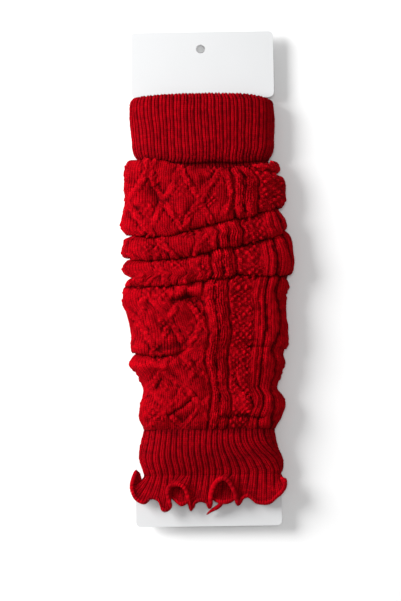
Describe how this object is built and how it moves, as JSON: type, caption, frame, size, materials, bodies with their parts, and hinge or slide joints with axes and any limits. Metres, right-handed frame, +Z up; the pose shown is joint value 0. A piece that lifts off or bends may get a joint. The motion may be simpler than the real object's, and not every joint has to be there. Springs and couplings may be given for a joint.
{
  "type": "pair of leg warmers on a display card",
  "caption": "Knitted leg warmers with ribbed cuffs, cable pattern, pushed-up folds and fluted hem, one over the other on a flat hanging card.",
  "frame": {"origin": "middle of the bounding box's underside, on the surface the part lies on", "axes": "+Y along the card towards its hang hole, +Z up out of the surface, +X to the right across the card"},
  "size_m": [0.129, 0.38, 0.0226],
  "materials": {
    "knit": "matt red wool-like yarn, knitted",
    "card": "smooth white coated board"
  },
  "bodies": {
    "root": {"card": "card", "outer_top_cuff": "knit", "outer_leg": "knit", "outer_ankle_rib": "knit", "outer_ruffle": "knit", "inner_top_cuff": "knit", "inner_leg": "knit", "inner_ankle_rib": "knit", "inner_ruffle": "knit"}
  },
  "joints": []
}
